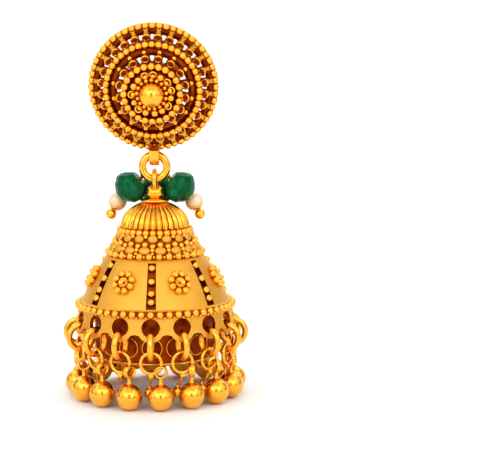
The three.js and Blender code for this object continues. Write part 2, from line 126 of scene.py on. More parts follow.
def turnedShape(profile, sides, smooth=True, reach=None):
    # Turns a closed outline of (radius, height) points round +Z, anticlockwise seen with +Z up
    # and the radius to the right; reach(azimuth, radius, height) may change the radius
    corners, faces, rows = [], [], []
    for radius, height in profile:
        if radius < 1e-6:
            rows.append([len(corners)] * sides)
            corners.append((0, 0, height))
            continue
        row = []
        for side in range(sides):
            around = 2 * math.pi * side / sides
            real = reach(around, radius, height) if reach else radius
            row.append(len(corners))
            corners.append((real * math.sin(around), -real * math.cos(around), height))
        rows.append(row)
    for index in range(len(rows)):
        low, high = rows[index], rows[(index + 1) % len(rows)]
        if low[0] == low[1] and high[0] == high[1]:
            continue
        for side in range(sides):
            after = (side + 1) % sides
            face = [low[side], low[after], high[after], high[side]]
            faces.append(tuple(dict.fromkeys(face)))
    return np.array(corners, float), faces, smooth


def ringShape(radius, wire, sides=24, section=10, flatten=1.0):
    profile = [(radius + wire * math.cos(2 * math.pi * k / section),
                wire * flatten * math.sin(2 * math.pi * k / section)) for k in range(section)]
    return turnedShape(profile, sides)


def wireShape(course, radius, section=10):
    # A round wire along points, capped at both ends; radius may be one value for each point
    course = np.array(course, float)
    radii = np.broadcast_to(np.array(radius, float), (len(course),))
    ways = np.gradient(course, axis=0)
    ways /= np.linalg.norm(ways, axis=1)[:, None]
    side = np.array((1.0, 0, 0)) if abs(ways[0][0]) < 0.8 else np.array((0, 1.0, 0))
    corners = []
    for point, way, wide in zip(course, ways, radii):
        side = unit(side - way * np.dot(side, way))
        other = np.cross(way, side)
        for k in range(section):
            angle = 2 * math.pi * k / section
            corners.append(point + wide * (math.cos(angle) * side + math.sin(angle) * other))
    faces = []
    for row in range(len(course) - 1):
        for k in range(section):
            after = (k + 1) % section
            low, high = row * section, (row + 1) * section
            faces.append((low + k, low + after, high + after, high + k))
    last = (len(course) - 1) * section
    faces.append(tuple(reversed(range(section))))
    faces.append(tuple(range(last, last + section)))
    return np.array(corners), faces, True


def slabShape(outline, low, high, bevel=0.0):
    # A flat piece with an outline, from low to high along +Z, its edges drawn in by the bevel
    outline = np.array(outline, float)
    middle = outline.mean(axis=0)
    reach = np.linalg.norm(outline - middle, axis=1).max()
    inner = middle + (outline - middle) * (1 - bevel / reach)
    levels = [(outline, low), (outline, high)]
    if bevel:
        levels = [(inner, low), (outline, low + bevel), (outline, high - bevel), (inner, high)]
    corners = np.vstack([np.column_stack((line, np.full(len(line), z))) for line, z in levels])
    count = len(outline)
    faces = [tuple(reversed(range(count)))]
    for row in range(len(levels) - 1):
        for k in range(count):
            after = (k + 1) % count
            faces.append((row * count + k, row * count + after, (row + 1) * count + after, (row + 1) * count + k))
    faces.append(tuple(range((len(levels) - 1) * count, len(levels) * count)))
    return corners, faces, False


def barShape(width, length, thickness, bevel=0.08):
    half, far = width / 2, length / 2
    outline = [(-half, -far), (half, -far), (half, far), (-half, far)]
    return slabShape(outline, -thickness / 2, thickness / 2, bevel)


def smoothCourse(points, steps):
    # A curve through the points, even in its turns
    points = [np.array(p, float) for p in points]
    points = [2 * points[0] - points[1], *points, 2 * points[-1] - points[-2]]
    made = []
    for i in range(len(points) - 3):
        p0, p1, p2, p3 = points[i:i + 4]
        d0, d1, d2 = (math.sqrt(np.linalg.norm(b - a)) for a, b in ((p0, p1), (p1, p2), (p2, p3)))
        out = ((p1 - p0) / d0 - (p2 - p0) / (d0 + d1) + (p2 - p1) / d1) * d1
        back = ((p2 - p1) / d1 - (p3 - p1) / (d1 + d2) + (p3 - p2) / d2) * d1
        for step in range(steps + (i == len(points) - 4)):
            t = step / steps
            made.append(p1 + out * t + (3 * (p2 - p1) - 2 * out - back) * t**2
                        + (2 * (p1 - p2) + out + back) * t**3)
    return made


def linked(name, data):
    made = bpy.data.objects.new(name, data)
    bpy.context.scene.collection.objects.link(made)
    return made


class Work:
    # Gathers shapes, then becomes one piece
    def __init__(self):
        self.corners, self.faces, self.smooth, self.finish, self.count = [], [], [], [], 0

    def add(self, shape, place=None, finish=0):
        corners, faces, smooth = shape
        if place is not None:
            corners = corners @ place[:3, :3].T + place[:3, 3]
        self.faces += [tuple(i + self.count for i in face) for face in faces]
        self.corners.append(corners)
        self.smooth += [smooth] * len(faces)
        self.finish += [finish] * len(faces)
        self.count += len(corners)

    def piece(self, name, place, materials=None):
        corners = (np.vstack(self.corners) @ place[:3, :3].T + place[:3, 3]) * 0.001
        mesh = bpy.data.meshes.new(name)
        mesh.from_pydata(corners.tolist(), [], self.faces)
        mesh.polygons.foreach_set("use_smooth", self.smooth)
        mesh.polygons.foreach_set("material_index", self.finish)
        mesh.validate()
        mesh.update()
        for material in materials or golds:
            mesh.materials.append(material)
        return linked(name, mesh)


def settle(piece, body, slotName, *nodes):
    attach(piece, body)
    if nodes:
        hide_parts(*nodes)


# Finishes

def newMaterial(name):
    material = bpy.data.materials.new(name)
    material.use_nodes = True
    tree = material.node_tree
    return material, tree, tree.nodes["Principled BSDF"]


def feed(tree, node, inputs):
    # Links each input that is given another node's output, and sets the others
    for name, value in inputs.items():
        if isinstance(value, bpy.types.NodeSocket):
            tree.links.new(value, node.inputs[name])
        else:
            node.inputs[name].default_value = value
    return node


def noiseNode(tree, scale, detail=3.0, roughness=0.5, space="Object"):
    places = tree.nodes.new("ShaderNodeTexCoord").outputs[space]
    return feed(tree, tree.nodes.new("ShaderNodeTexNoise"), {
        "Vector": places, "Scale": scale, "Detail": detail, "Roughness": roughness}).outputs["Fac"]


def rangeNode(tree, source, low, high, fromLow=0.3, fromHigh=0.7):
    return feed(tree, tree.nodes.new("ShaderNodeMapRange"), {
        "Value": source, "From Min": fromLow, "From Max": fromHigh,
        "To Min": low, "To Max": high}).outputs["Result"]


def colourNode(tree, source, colours):
    ramp = tree.nodes.new("ShaderNodeValToRGB")
    for element, position, colour in zip(ramp.color_ramp.elements, (0.32, 0.68), colours):
        element.position = position
        element.color = (*colour, 1)
    return feed(tree, ramp, {"Fac": source}).outputs["Color"]


def bumpNode(tree, source, strength, distance):
    return feed(tree, tree.nodes.new("ShaderNodeBump"), {
        "Height": source, "Strength": strength, "Distance": distance}).outputs["Normal"]


finishes = {
    "polishedGold": {"colours": [(0.95, 0.46, 0.04), (0.99, 0.52, 0.056)], "roughness": (0.2, 0.29), "coat": 0.5,
                     "cloud": 700, "grain": 5200, "depth": 0.000006, "bump": 0.25},
    "satinGold": {"colours": [(0.76, 0.41, 0.062), (0.8, 0.45, 0.078)], "roughness": (0.46, 0.6), "coat": 0.12,
                  "cloud": 420, "grain": 9000, "depth": 0.00001, "bump": 0.5},
    # The third gold paints shade: a dark reddish gold for the floors, walls and folds that lie in shade
    "paintedShadeGold": {"colours": [(0.24, 0.04, 0.002), (0.38, 0.08, 0.005)], "roughness": (0.38, 0.55), "coat": 0.05,
                   "cloud": 800, "grain": 6500, "depth": 0.00001, "bump": 0.45},
}


def goldMaterial(name):
    look = finishes[name]
    material, tree, shader = newMaterial(name)
    grain = noiseNode(tree, look["grain"], 5.0, 0.6)
    feed(tree, shader, {
        "Base Color": colourNode(tree, noiseNode(tree, look["cloud"]), look["colours"]),
        "Roughness": rangeNode(tree, grain, *look["roughness"]),
        "Normal": bumpNode(tree, grain, look["bump"], look["depth"]),
        "Metallic": 1.0, "Coat Weight": look["coat"], "Coat Roughness": 0.14})
    return material


stoneLook = {"colours": [(0.0004, 0.045, 0.009), (0.002, 0.17, 0.062)], "roughness": (0.05, 0.12), "cloud": 520,
             "grain": 2600, "facet": 2.6, "clouding": 0.3, "shine": 0.16}
# The pearl's edge colour is a painted golden reflection
pearlLook = {"colours": [(0.84, 0.67, 0.45), (0.93, 0.82, 0.64)], "edge": (0.76, 0.38, 0.06), "cloud": 480,
             "roughness": (0.2, 0.3), "grain": 3000, "coat": 0.5, "sheen": 0.15}


def stoneMaterial():
    look = stoneLook
    material, tree, shader = newMaterial("greenStone")
    # Painted reflection: each facet gets a lighter or darker tone from its normal, clouded a little with the
    # stone's own tone
    blend = feed(tree, tree.nodes.new("ShaderNodeMix"), {
        "Factor": look["clouding"], "A": noiseNode(tree, look["facet"], 1.0, space="Normal"),
        "B": noiseNode(tree, look["cloud"], 4.0)})
    feed(tree, shader, {
        "Base Color": colourNode(tree, blend.outputs["Result"], look["colours"]),
        "Roughness": rangeNode(tree, noiseNode(tree, look["grain"]), *look["roughness"]),
        "IOR": 1.5, "Specular IOR Level": look["shine"]})
    return material


def pearlMaterial():
    look = pearlLook
    material, tree, shader = newMaterial("pearlNacre")
    # Painted reflection of the gold round it: the nacre turns golden towards its edge and underneath
    edge = feed(tree, tree.nodes.new("ShaderNodeLayerWeight"), {"Blend": 0.5})
    places = tree.nodes.new("ShaderNodeTexCoord")
    ways = feed(tree, tree.nodes.new("ShaderNodeSeparateXYZ"), {"Vector": places.outputs["Normal"]})
    goldReflectionShare = tree.nodes.new("ShaderNodeMath")
    goldReflectionShare.operation = "ADD"
    goldReflectionShare.use_clamp = True
    feed(tree, goldReflectionShare, {0: rangeNode(tree, edge.outputs["Facing"], 0, 0.7, 0.15, 0.8),
                      1: rangeNode(tree, ways.outputs["Z"], 0.95, 0, -0.85, 0.4)})
    mix = tree.nodes.new("ShaderNodeMix")
    mix.data_type = "RGBA"
    feed(tree, mix, {"Factor": goldReflectionShare.outputs["Value"], "B": (*look["edge"], 1),
                     "A": colourNode(tree, noiseNode(tree, look["cloud"], 2.0), look["colours"])})
    feed(tree, shader, {
        "Base Color": mix.outputs["Result"],
        "Roughness": rangeNode(tree, noiseNode(tree, look["grain"]), *look["roughness"]),
        "Coat Weight": look["coat"], "Coat Roughness": 0.15, "Sheen Weight": look["sheen"]})
    return material


golds = [goldMaterial(name) for name in finishes]
# The third gold is painted shade, for faces that lie in shade
polished, satin, paintedShade = range(len(golds))
greenStone = stoneMaterial()
pearlNacre = pearlMaterial()
print("finishes made")

# Shared sizes

hang = {"tiltDegrees": 12, "rim": 10.15, "bailDrop": 0.4, "ringWire": 0.6, "ringRadius": 1.9,
        "bailClearance": 0.22, "bailThickness": 0.85, "bailWidth": 1.5, "bailRecess": 0.1}
bailHole = hang["ringWire"] + hang["bailClearance"]
bailMiddle = bailHole + hang["bailThickness"] / 2
bailY = -(hang["rim"] + hang["bailDrop"])
bailZ = bailHole + hang["bailThickness"] + hang["bailRecess"]
studPlace = turn("x", 90 + hang["tiltDegrees"])
hangPoint = (studPlace @ np.array((0, bailY, bailZ, 1)))[:3]
bellPlace = shift(*hangPoint)

bead = ballShape(16, 10)
smallBead = ballShape(12, 8)
largeBall = ballShape(40, 26)


def beadRow(work, count, radius, height, size, firstTurn=0.0, shape=bead, alternate=None, jitter=0.0):
    for i, azimuth in enumerate(azimuths(count, firstTurn)):
        wide = size if alternate is None or i % 2 == 0 else alternate
        real = wide / 2 * (1 + draw.uniform(-jitter, jitter))
        work.add(shape, turn("z", azimuth) @ shift(0, -radius, height) @ scaled(real))


# Stud

studLook = {
    "outerBeads": 56, "outerBeadRadius": 9.57, "outerBeadSize": 1.14, "outerSmallSize": 1.06, "outerBeadZ": 0.72,
    "posts": 28, "outerRingRadius": 7.95, "outerRingZ": 1.7, "ringSize": 1.42, "ringWire": 0.15, "ringLean": -24,
    "outerBridgeWidth": 1.22, "rowTwo": 44, "rowTwoRadius": 7.13, "rowTwoSize": 1.12, "rowTwoZ": 3.0,
    "channelItems": 16, "channelBeadRadius": 6.05, "channelBeadSize": 0.84, "channelBeadZ": 3.05,
    "channelRingRadius": 5.1, "channelRingZ": 3.7, "channelBridgeWidth": 1.4,
    "rowThree": 24, "rowThreeRadius": 4.22, "rowThreeSize": 1.16, "rowThreeZ": 5.2,
    "innerRadius": 2.95, "innerZ": 5.45, "seeds": 17, "seedRadius": 2.22, "seedSize": 0.74,
    "centreBead": 1.85, "centreZ": 6.1, "crownLean": -22, "backBars": 4, "satinFrom": 9.8,
}
# Beads and wire rings that follow each other round the crown: azimuth, bead size or 0, ring size or 0
crownItems = [(8, 1.12, 0), (31, 1.1, 0), (54, 0.8, 1.3), (79, 1.05, 0), (102, 0.85, 1.3), (128, 0.8, 1.35),
              (152, 1.08, 0), (175, 0.75, 1.3), (199, 0.8, 1.3), (222, 1.12, 0), (245, 1.15, 0), (270, 0.85, 1.3),
              (295, 1.0, 0), (318, 0.8, 1.3), (341, 1.1, 0)]
studWalls = {  # closed outlines of (radius, height), and how many sides each is turned with
    "rim": ([(8.3, 0.0), (9.85, 0.0), (10.0, 0.2), (9.9, 0.45), (8.3, 0.75), (8.2, 0.4)], 112),
    "secondTier": ([(6.75, 0.5), (7.5, 0.5), (7.55, 1.6), (7.35, 2.9), (6.9, 2.9), (6.7, 1.8)], 112),
    "channelFloor": ([(5.45, 2.3), (6.85, 2.1), (6.85, 2.6), (5.45, 2.9)], 96),
    "thirdTier": ([(3.9, 2.3), (4.55, 2.3), (4.6, 3.6), (4.45, 5.1), (4.0, 5.1), (3.8, 3.8)], 80),
    "crownFloor": ([(0, 4.5), (4.0, 4.5), (4.0, 4.85), (2.0, 5.1), (0, 5.1)], 64),
    "backPad": ([(0, 0.2), (1.5, 0.2), (1.6, 0.3), (1.6, 0.6), (1.5, 0.7), (0, 0.7)], 48),
}
postOutline = [(-0.42, -0.5), (0.42, -0.5), (0.27, -0.05), (0.4, 0.55), (-0.4, 0.55), (-0.27, -0.05)]


def wireRing(size, wire):
    return ringShape(size / 2 - wire, wire, 20, 7)


def studPiece():
    look = studLook
    work = Work()
    # Rim and its beads
    # Walls, floors and bridges between the beads are in the painted-shade gold
    work.add(turnedShape(*studWalls["rim"]), None, paintedShade)
    beadRow(work, look["outerBeads"], look["outerBeadRadius"], look["outerBeadZ"], look["outerBeadSize"],
            alternate=look["outerSmallSize"], jitter=0.03)
    # Flared posts lead in from the rim, each to a wire ring that leans on the second tier
    for azimuth in azimuths(look["posts"], 0.5):
        facing = turn("z", azimuth)
        work.add(slabShape(postOutline, 0.6, 1.0, 0.06), facing @ shift(0, -8.85, 0), satin)
        work.add(barShape(look["outerBridgeWidth"], 1.1, 0.5, 0.06), facing @ shift(0, -7.95, 0.72), paintedShade)
        work.add(wireRing(look["ringSize"], look["ringWire"]),
                 facing @ shift(0, -look["outerRingRadius"], look["outerRingZ"]) @ turn("x", look["ringLean"]))
        work.add(barShape(0.4, 0.5, 0.5, 0.06), facing @ shift(0, -8.35, 1.0), satin)
    # Second tier
    work.add(turnedShape(*studWalls["secondTier"]), None, paintedShade)
    beadRow(work, look["rowTwo"], look["rowTwoRadius"], look["rowTwoZ"], look["rowTwoSize"], jitter=0.03)
    # Channel floor with a small bead and a wire ring to each bridge
    work.add(turnedShape(*studWalls["channelFloor"]), None, paintedShade)
    size = look["channelBeadSize"] / 2
    for azimuth in azimuths(look["channelItems"], 0.5):
        facing = turn("z", azimuth)
        work.add(barShape(look["channelBridgeWidth"], 1.2, 0.5, 0.06), facing @ shift(0, -5.1, 2.66), paintedShade)
        work.add(smallBead, facing @ shift(0, -look["channelBeadRadius"], look["channelBeadZ"]) @ scaled(size))
        work.add(barShape(0.42, 0.6, 0.4, 0.06), facing @ shift(0, -5.65, 3.05), satin)
        work.add(wireRing(look["ringSize"], look["ringWire"]),
                 facing @ shift(0, -look["channelRingRadius"], look["channelRingZ"]) @ turn("x", look["ringLean"]))
    # Third tier
    work.add(turnedShape(*studWalls["thirdTier"]), None, paintedShade)
    beadRow(work, look["rowThree"], look["rowThreeRadius"], look["rowThreeZ"], look["rowThreeSize"], jitter=0.03)
    # Crown: floor, beads and wire rings in turn, and the large centre bead
    work.add(turnedShape(*studWalls["crownFloor"]), None, paintedShade)
    for azimuth, beadSize, ringSize in crownItems:
        place = turn("z", azimuth) @ shift(0, -look["innerRadius"], look["innerZ"])
        if ringSize:
            work.add(wireRing(ringSize, look["ringWire"]),
                     place @ shift(0, -0.1, 0.05) @ turn("x", look["crownLean"]))
        half = beadSize / 2
        work.add(bead, place @ shift(0, 0.12 if ringSize else 0, 0.1) @ scaled(half))
    beadRow(work, look["seeds"], look["seedRadius"], 5.5, look["seedSize"], 0.5, smallBead, jitter=0.08)
    size = look["centreBead"]
    work.add(largeBall, shift(0, 0, look["centreZ"]) @ scaled(size))
    # Back: a pad for the post and four bars out to the rim
    work.add(turnedShape(*studWalls["backPad"]))
    for azimuth in azimuths(look["backBars"], 0.5):
        work.add(barShape(1.2, 7.9, 0.5), turn("z", azimuth) @ shift(0, -4.75, 0.45))
    # Bail: a strap round the jump ring, its two legs soldered to the rim
    half = hang["bailWidth"] / 2
    inner, outer = bailHole, bailHole + hang["bailThickness"]
    strap = turnedShape([(inner, 0.1 - half), (inner + 0.1, -half), (outer - 0.12, -half), (outer, 0.12 - half),
                         (outer, half - 0.12), (outer - 0.12, half), (inner + 0.1, half), (inner, half - 0.1)], 48)
    work.add(strap, shift(0, bailY, bailZ) @ turn("y", 90))
    legLength = hang["rim"] - 0.7 + bailY
    for side in (-1, 1):
        work.add(barShape(hang["bailWidth"], -legLength, hang["bailThickness"], 0.1),
                 shift(0, bailY - legLength / 2, bailZ + side * bailMiddle))
    work.add(barShape(hang["bailWidth"] * 0.98, 0.6, 2 * bailMiddle, 0.05), shift(0, -9.55, bailZ), paintedShade)
    piece = work.piece("studWork", studPlace)
    # Painted shade stays only on the floors between the beads: the back and the outer edge turn plain satin
    for polygon in piece.data.polygons:
        if polygon.material_index != paintedShade:
            continue
        x, y, _ = polygon.center * 1000 @ Matrix(studPlace[:3, :3].tolist())
        if math.hypot(x, y) > look["satinFrom"] or np.dot(polygon.normal, studPlace[:3, 2]) < -0.2:
            polygon.material_index = satin
    return piece


settle(studPiece(), "stud", "polished_gold", "stud")


def earPostPiece():
    work = Work()
    profile = [(0, -10.5), (0.2, -10.5), (0.27, -10.45), (0.43, -10.1), (0.45, -9.95), (0.45, -8.4), (0.38, -8.3),
               (0.36, -8.15), (0.38, -8.0), (0.45, -7.9), (0.45, 0.0), (0.55, 0.06), (0.55, 0.1), (0, 0.1)]
    work.add(turnedShape(profile, 24))
    return work.piece("earPost", studPlace)


settle(earPostPiece(), "stud", "polished_gold", "ear_post")


def jumpRingPiece():
    work = Work()
    work.add(ringShape(hang["ringRadius"], hang["ringWire"], 72, 20),
             shift(0, 0, -hang["ringRadius"]) @ turn("x", 90))
    return work.piece("jumpRing", bellPlace)


settle(jumpRingPiece(), "ring", "polished_gold", "jump_ring")
print("stud and jump ring made")

# Finial and cap

finial = {"loopWire": 0.4, "loopClearance": 0.25, "rearRoom": 0.55, "ball": 1.5, "ballHalf": 1.15, "neck": 0.89,
          "flange": 2.1, "flangeRim": 2.28, "flangeThickness": 0.45, "sink": 0.2, "pin": 0.6, "pinLength": 1.2}
loopZ = -2 * hang["ringRadius"]
loopRadius = hang["ringWire"] + finial["loopClearance"] + finial["loopWire"]
loopRear = loopRadius + finial["rearRoom"]
ballZ = loopZ - loopRadius - finial["neck"]
flangeTop = ballZ - finial["ballHalf"] + finial["sink"]
flangeFoot = flangeTop - finial["flangeThickness"]
seatClearance = 0.1
domeTop = flangeFoot - seatClearance
cap = {"radius": 5.4, "height": 3.8, "domeRoundness": 1.98, "wall": 0.65, "innerDraw": 0.24, "ribs": 32,
       "ribDepth": 0.34, "ribSharpness": 2.2, "paintedShadeFold": 0.93}
capFoot = domeTop - cap["height"]


def finialPiece():
    look = finial
    work = Work()
    root = ballZ + look["ballHalf"] * 0.35
    low = loopZ - loopRadius * 0.75
    bend = [(0, y, z) for y, z in (
        (-0.3, root), (-loopRadius * 0.75, low), (-loopRadius, loopZ),
        (-loopRadius * 0.6, loopZ + loopRadius * 0.8), (look["rearRoom"] * 0.4, loopZ + loopRadius),
        (loopRear * 0.72, loopZ + loopRadius * 0.75), (loopRear, loopZ), (loopRear * 0.7, low), (0.35, root))]
    work.add(wireShape(smoothCourse(bend, 8), look["loopWire"], 14))
    # The ball is a little flattened
    ball = [(look["ball"] * math.sin(math.pi * k / 24) * (0 < k < 24),
             ballZ - look["ballHalf"] * math.cos(math.pi * k / 24)) for k in range(25)]
    work.add(turnedShape(ball, 56))
    # A soldered collar where the loop enters the ball
    work.add(ringShape(0.62, 0.16, 32, 8), shift(0, 0.03, ballZ + look["ballHalf"] * 0.86) @ stretch(1, 1.25, 1))
    rim = look["flangeRim"]
    profile = [(0, flangeFoot - look["pinLength"]), (look["pin"] - 0.08, flangeFoot - look["pinLength"]),
               (look["pin"], flangeFoot - look["pinLength"] + 0.1), (look["pin"], flangeFoot),
               (rim - 0.15, flangeFoot), (rim - 0.03, flangeFoot + 0.09), (rim, flangeFoot + 0.22),
               (rim - 0.05, flangeTop - 0.1), (rim - 0.2, flangeTop), (1.35, flangeTop + 0.03),
               (1.2, flangeTop + 0.12), (0, flangeTop + 0.2)]
    work.add(turnedShape(profile, 64))
    return work.piece("bellFinial", bellPlace)


settle(finialPiece(), "bell", "polished_gold", "bell_finial")


def domeRadius(share):
    power = cap["domeRoundness"]
    top = (1 - (finial["flange"] * 0.95 / cap["radius"]) ** power) ** (1 / power)
    return cap["radius"] * (1 - (share * top) ** power) ** (1 / power)


def capPiece():
    work = Work()
    shares = [0, 0.06, 0.12, 0.18, 0.25, 0.31, 0.38, 0.44, 0.5, 0.55, 0.6, 0.65, 0.7, 0.74, 0.78, 0.82, 0.86, 0.9,
              0.94, 0.97, 1]
    outer = [(domeRadius(share), capFoot + share * cap["height"]) for share in shares]
    inner = [(domeRadius(share) - cap["wall"] - cap["innerDraw"], capFoot + share * (cap["height"] - cap["wall"]))
             for share in (0.8, 0.4, 0)]
    hole = finial["pin"] + seatClearance
    ribbed = {round(height, 6) for _, height in outer}

    def reach(around, radius, height):
        if round(height, 6) not in ribbed or radius < finial["flange"] * 0.9:
            return radius
        return radius - cap["ribDepth"] * abs(math.sin(around * cap["ribs"] / 2)) ** cap["ribSharpness"]

    profile = [*outer, (hole, domeTop), (hole, domeTop - cap["wall"]), *inner]
    work.add(turnedShape(profile, cap["ribs"] * 12, True, reach))
    piece = work.piece("ribbedCap", bellPlace)
    # Painted shade in the folds between the ribs
    for polygon in piece.data.polygons:
        x, y, z = (polygon.center[k] * 1000 - hangPoint[k] for k in range(3))
        fold = abs(math.sin(math.atan2(x, -y) * cap["ribs"] / 2))
        if fold > cap["paintedShadeFold"] and capFoot + 0.01 < z < domeTop - 0.01 and math.hypot(x, y) > finial["flange"]:
            polygon.material_index = paintedShade
    return piece


settle(capPiece(), "bell", "polished_gold", "ribbed_cap")
print("finial and cap made")

# Bell body

bell = {
    "firstRidge": 5.97, "firstDrop": 0.4, "secondRidge": 6.75, "secondDrop": 1.85, "thirdRidge": 7.87,
    "thirdDrop": 1.55, "neck": 0.75, "skirtHeight": 6.75, "skirtTop": 7.75, "skirtFoot": 11.5, "bulge": 0.22,
    "rimRadius": 12.68, "rimDrop": 0.65, "rimHeight": 1.0, "collarDrop": 3.6, "collarTop": 12.05,
    "collarFoot": 12.75, "collarFlare": 1.3, "wall": 0.8, "panels": 7, "slotTopWidth": 1.2, "slotFootWidth": 1.55,
    "slotTop": 0.12, "slotFoot": 0.1, "slotReach": (4.5, 14.5), "slotRib": (0.34, 0.3),
    "stripLap": 0.5, "stripDepths": (-0.9, -0.62), "spigotHeight": 0.7, "spigotClearance": 0.4,
    "chains": 16, "hole": 1.45, "holeReach": (10, 15), "holeEdge": 0.075, "lobe": 2.15, "notchTop": 1.0,
    "rowBead": 1.06, "rowOne": 32, "rowThree": 30, "pillows": 17, "slotBeads": (0.14, 0.42, 0.67, 0.85),
    "rosetteShare": 0.45, "rosettePetals": 8, "petal": 0.54, "rimBeads": 54, "rimBead": 1.13, "sharpFrom": 32,
}
ridgeOne = capFoot - seatClearance - bell["firstDrop"]
ridgeTwo = ridgeOne - bell["secondDrop"]
ridgeThree = ridgeTwo - bell["thirdDrop"]
skirtTopZ = ridgeThree - bell["neck"]
skirtFootZ = skirtTopZ - bell["skirtHeight"]
rimZ = skirtFootZ - bell["rimDrop"]
collarTopZ = rimZ - bell["rimHeight"] / 2
collarFootZ = collarTopZ - bell["collarDrop"]
holeZ = collarFootZ + bell["lobe"]


def skirtRadius(share):
    straight = bell["skirtTop"] + (bell["skirtFoot"] - bell["skirtTop"]) * share
    return straight + bell["bulge"] * math.sin(math.pi * share)


def skirtZ(share):
    return skirtTopZ + (skirtFootZ - skirtTopZ) * share


def skirtLean(share):
    # How far the skirt's face leans back from upright there, in degrees
    step = 0.02
    return math.degrees(math.atan2(skirtRadius(share + step) - skirtRadius(share - step),
                                   skirtZ(share - step) - skirtZ(share + step)))


def cutWith(piece, cutter):
    change = piece.modifiers.new("cut", "BOOLEAN")
    change.operation = "DIFFERENCE"
    change.solver = "MANIFOLD"
    change.object = cutter
    bpy.context.view_layer.update()
    made = bpy.data.meshes.new_from_object(piece.evaluated_get(bpy.context.evaluated_depsgraph_get()))
    piece.modifiers.clear()
    piece.data = made
    bpy.data.objects.remove(cutter)


def smoothFaces(piece):
    piece.data.polygons.foreach_set("use_smooth", [True] * len(piece.data.polygons))
    piece.data.set_sharp_from_angle(angle=math.radians(bell["sharpFrom"]))


def collarRadius(share):
    return bell["collarTop"] + (bell["collarFoot"] - bell["collarTop"]) * share ** bell["collarFlare"]


def taperedSlot(topWidth, footWidth, length, steps=8):
    right = [(footWidth / 2 + (topWidth - footWidth) / 2 * k / steps, length * (k / steps - 0.5))
             for k in range(steps + 1)]
    return right + [(-x, y) for x, y in reversed(right)]


def bellShellPiece():
    work = Work()
    spigot = cap["radius"] - cap["wall"] - cap["innerDraw"] - bell["spigotClearance"]
    spigotFoot = ridgeOne + bell["firstDrop"]
    wall = bell["wall"]
    outer = [(spigot, spigotFoot + bell["spigotHeight"]), (spigot, spigotFoot), (5.35, spigotFoot),
             (5.5, ridgeOne + 0.2), (5.5, ridgeOne - 0.3), (5.45, ridgeOne - 0.5),
             (6.1, ridgeTwo + 0.42), (6.28, ridgeTwo + 0.2), (6.3, ridgeTwo - 0.2), (6.35, ridgeTwo - 0.42),
             (7.15, ridgeThree + 0.4), (7.38, ridgeThree + 0.2), (7.42, ridgeThree - 0.25),
             (7.45, ridgeThree - 0.5)]
    outer += [(skirtRadius(k / 12), skirtZ(k / 12)) for k in range(13)]
    outer += [(11.85, rimZ + 0.5), (12.1, rimZ + 0.25), (12.1, rimZ - 0.25), (11.95, rimZ - 0.45),
              (bell["collarTop"], collarTopZ - 0.05)]
    outer += [(collarRadius(k / 5), collarTopZ + (collarFootZ - collarTopZ) * (k / 5)) for k in range(1, 6)]
    inner = [(bell["collarFoot"] - wall, collarFootZ), (bell["collarTop"] - wall, collarTopZ),
             *[(skirtRadius(share) - wall, skirtZ(share)) for share in (1, 0.5, 0)],
             (spigot - wall, spigotFoot - wall), (spigot - wall, spigotFoot + bell["spigotHeight"])]
    profile = list(reversed([*outer, *inner]))
    work.add(turnedShape(profile, 224), None, satin)
    piece = work.piece("bellShell", bellPlace)

    # One slot at the front and six more round the skirt
    slots = Work()
    length = bell["skirtHeight"] - bell["slotTop"] - bell["slotFoot"]
    middle = (skirtZ(0) - bell["slotTop"] + skirtZ(1) + bell["slotFoot"]) / 2
    # The cut walls of the slots take the painted-shade gold
    for azimuth in azimuths(bell["panels"]):
        slots.add(slabShape(taperedSlot(bell["slotTopWidth"], bell["slotFootWidth"], length), *bell["slotReach"]),
                  outward(azimuth, 0, middle), paintedShade)
    cutWith(piece, slots.piece("slotCutter", bellPlace))

    # Round holes with lobes round them at the collar's foot
    cuts = Work()
    circle = [(bell["hole"] * math.cos(math.radians(k * 11.25)), bell["hole"] * math.sin(math.radians(k * 11.25)))
              for k in range(32)]
    halfPitch = math.pi * bell["collarFoot"] / bell["chains"]
    arc = [(halfPitch - bell["lobe"] * math.cos(math.radians(d)), -bell["lobe"] * math.sin(math.radians(d)))
           for d in (80, 70, 60, 50, 40, 32)]
    notch = [(-arc[0][0], -bell["lobe"] - 0.5), (arc[0][0], -bell["lobe"] - 0.5), *arc,
             (0, -bell["notchTop"]), *[(-x, y) for x, y in reversed(arc)]]
    for azimuth in azimuths(bell["chains"]):
        cuts.add(slabShape(circle, *bell["holeReach"]), outward(azimuth, 0, holeZ))
        cuts.add(slabShape(notch, *bell["holeReach"]), outward(azimuth + 180 / bell["chains"], 0, holeZ))
    cutWith(piece, cuts.piece("collarCutter", bellPlace))
    # Painted shade on the wall behind the rows of beads and the rim's beads
    for polygon in piece.data.polygons:
        height = polygon.center.z * 1000 - hangPoint[2]
        behindBeads = ridgeThree - 0.48 < height < spigotFoot or abs(height - rimZ) < 0.45
        if behindBeads and polygon.material_index == satin:
            polygon.material_index = paintedShade
    smoothFaces(piece)
    return piece


settle(bellShellPiece(), "bell", "satin_gold", "bell_body")


innerCollar = {"radius": 9.5, "wall": 0.6, "height": 8.4, "drop": 0.45, "ledge": 0.6, "dimple": 1.5, "dish": 0.42,
               "dimpleUp": 2.6, "dimpleWire": 0.11, "footWire": 0.33}


